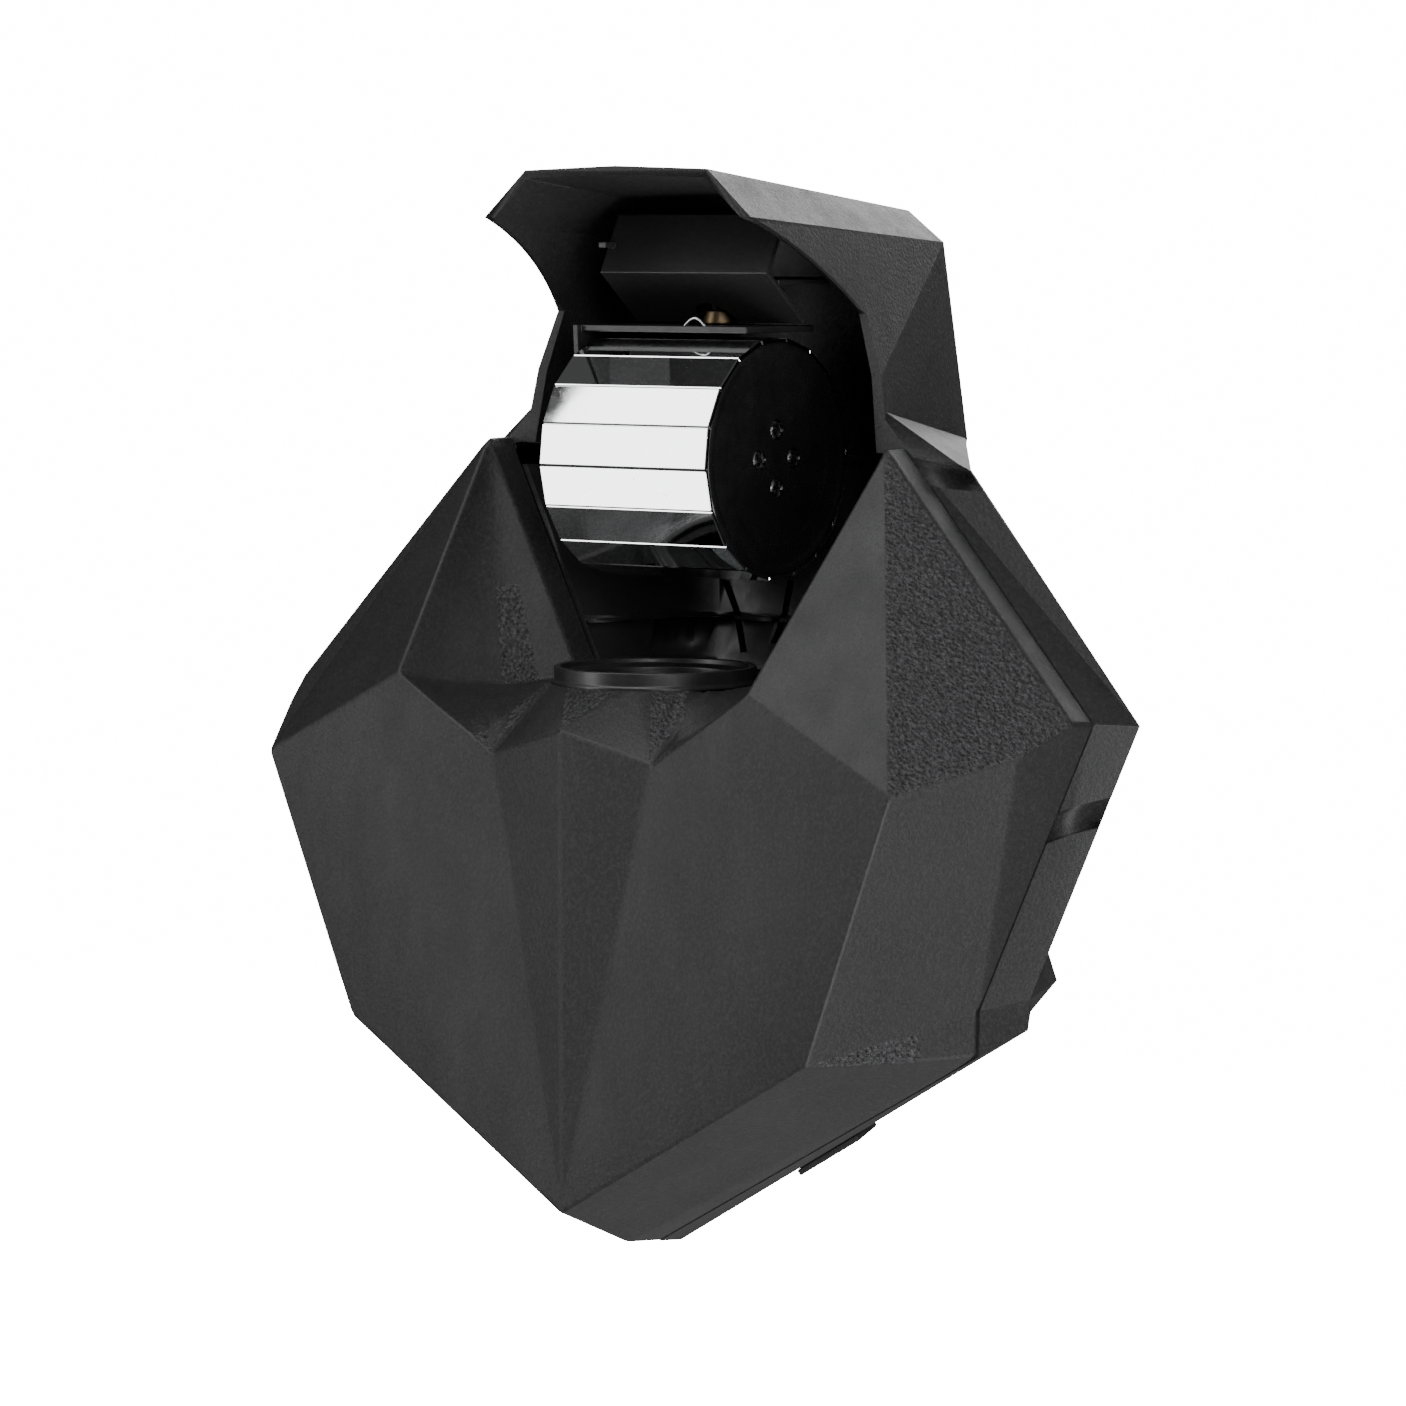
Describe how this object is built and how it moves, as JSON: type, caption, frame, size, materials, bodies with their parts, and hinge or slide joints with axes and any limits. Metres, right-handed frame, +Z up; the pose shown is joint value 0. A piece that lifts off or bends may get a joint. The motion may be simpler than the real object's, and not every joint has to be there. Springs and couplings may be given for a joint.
{
  "type": "barrel scanner effect light",
  "caption": "Faceted black stage light that throws its beam off a spinning, panning mirrored drum under a hood, with a tilting hanging bracket at the back.",
  "frame": {"origin": "middle of the bracket's flat rear face", "axes": "+X to the light's left-to-right as seen from the front, along the tilt axis; +Y to the back, out of the bracket's rear face; +Z up"},
  "size_m": [0.3028, 0.1839, 0.3217],
  "materials": {
    "shell_plastic": "coarse moulded grain",
    "fine_plastic": "fine moulded grain",
    "coated_steel": "black powder coat",
    "bare_steel": "rolled and zinc plated",
    "aluminium": "mill finish",
    "mirror": "flat silvered mirror strips",
    "lens_glass": "polished",
    "circuit_board": "solder mask",
    "brass": "turned",
    "rubber": "matte",
    "display": "polished window",
    "led": "phosphor over a white board"
  },
  "bodies": {
    "bracket": {"hanging_bracket": "coated_steel"},
    "housing": {"front_shell": "shell_plastic", "rear_shell": "shell_plastic", "bay_liner": "fine_plastic", "collar": "fine_plastic", "lens_tube": "fine_plastic", "front_lens": "lens_glass", "condenser_lens": "lens_glass", "gobo_motor": "bare_steel", "colour_motor": "bare_steel", "optics_plate": "coated_steel", "led_board": "led", "heatsink": "aluminium", "pan_motor": "bare_steel", "motor_plate": "coated_steel", "motor_guard": "coated_steel", "fan_frame": "fine_plastic", "power_supply": "bare_steel", "control_board": "circuit_board", "display_module": "display", "button_board": "circuit_board", "rear_panel": "coated_steel", "power_inlet": "fine_plastic", "power_outlet": "fine_plastic", "signal_inlet": "fine_plastic", "signal_outlet": "fine_plastic", "fuse_holder": "fine_plastic", "safety_eye": "bare_steel", "bracket_ear_left": "coated_steel", "bracket_ear_right": "coated_steel", "under_pad_left": "rubber", "under_pad_right": "rubber", "panel_screw_1": "coated_steel", "panel_screw_2": "coated_steel", "panel_screw_3": "coated_steel", "panel_screw_4": "coated_steel", "panel_screw_5": "coated_steel", "panel_screw_6": "coated_steel"},
    "yoke": {"pan_yoke": "coated_steel", "pan_hub": "brass", "drum_motor": "bare_steel"},
    "drum": {"drum_core": "fine_plastic", "mirror_ring": "mirror", "drum_cap": "fine_plastic", "drum_screw_1": "coated_steel", "drum_screw_2": "coated_steel", "drum_screw_3": "coated_steel", "drum_screw_4": "coated_steel"},
    "gobo_wheel": {"gobo_wheel": "aluminium"},
    "colour_wheel": {"colour_wheel": "aluminium"},
    "fan": {"fan_rotor": "fine_plastic"},
    "fuse_cap": {"fuse_cap": "fine_plastic"},
    "knob_left": {"clamp_knob_left": "fine_plastic"},
    "knob_right": {"clamp_knob_right": "fine_plastic"},
    "button_1": {"menu_button_1": "fine_plastic"},
    "button_2": {"menu_button_2": "fine_plastic"},
    "button_3": {"menu_button_3": "fine_plastic"},
    "button_4": {"menu_button_4": "fine_plastic"}
  },
  "joints": [
    {"name": "housing_tilt", "type": "hinge", "parent": "bracket", "child": "housing", "pos_m": [0, -0.045, 0], "axis": [1, 0, 0], "range_deg": [-50, 50]},
    {"name": "knob_left_turn", "type": "hinge", "parent": "bracket", "child": "knob_left", "pos_m": [-0.06, -0.045, 0], "axis": [1, 0, 0], "continuous": true},
    {"name": "knob_right_turn", "type": "hinge", "parent": "bracket", "child": "knob_right", "pos_m": [0.06, -0.045, 0], "axis": [1, 0, 0], "continuous": true},
    {"name": "drum_pan", "type": "hinge", "parent": "housing", "child": "yoke", "pos_m": [0, -0.106, 0.1093], "axis": [0, 0, 1], "range_deg": [-80, 80]},
    {"name": "drum_spin", "type": "hinge", "parent": "yoke", "child": "drum", "pos_m": [0, -0.1182, 0.0712], "axis": [1, 0, 0], "continuous": true},
    {"name": "gobo_spin", "type": "hinge", "parent": "housing", "child": "gobo_wheel", "pos_m": [0, -0.1041, -0.0514], "axis": [0, 0, 1], "continuous": true},
    {"name": "colour_spin", "type": "hinge", "parent": "housing", "child": "colour_wheel", "pos_m": [0, -0.1041, -0.0574], "axis": [0, 0, 1], "continuous": true},
    {"name": "fan_spin", "type": "hinge", "parent": "housing", "child": "fan", "pos_m": [0, -0.078, -0.088], "axis": [0, 1, 0], "continuous": true},
    {"name": "fuse_cap_turn", "type": "hinge", "parent": "housing", "child": "fuse_cap", "pos_m": [-0.05, -0.056, -0.066], "axis": [0, 1, 0], "range_deg": [0, 90]},
    {"name": "button_1_press", "type": "slide", "parent": "housing", "child": "button_1", "axis": [0, -1, 0], "range_m": [0, 0.0012], "stiffness_N_per_m": 300, "springref_m": -0.001},
    {"name": "button_2_press", "type": "slide", "parent": "housing", "child": "button_2", "axis": [0, -1, 0], "range_m": [0, 0.0012], "stiffness_N_per_m": 300, "springref_m": -0.001},
    {"name": "button_3_press", "type": "slide", "parent": "housing", "child": "button_3", "axis": [0, -1, 0], "range_m": [0, 0.0012], "stiffness_N_per_m": 300, "springref_m": -0.001},
    {"name": "button_4_press", "type": "slide", "parent": "housing", "child": "button_4", "axis": [0, -1, 0], "range_m": [0, 0.0012], "stiffness_N_per_m": 300, "springref_m": -0.001}
  ]
}
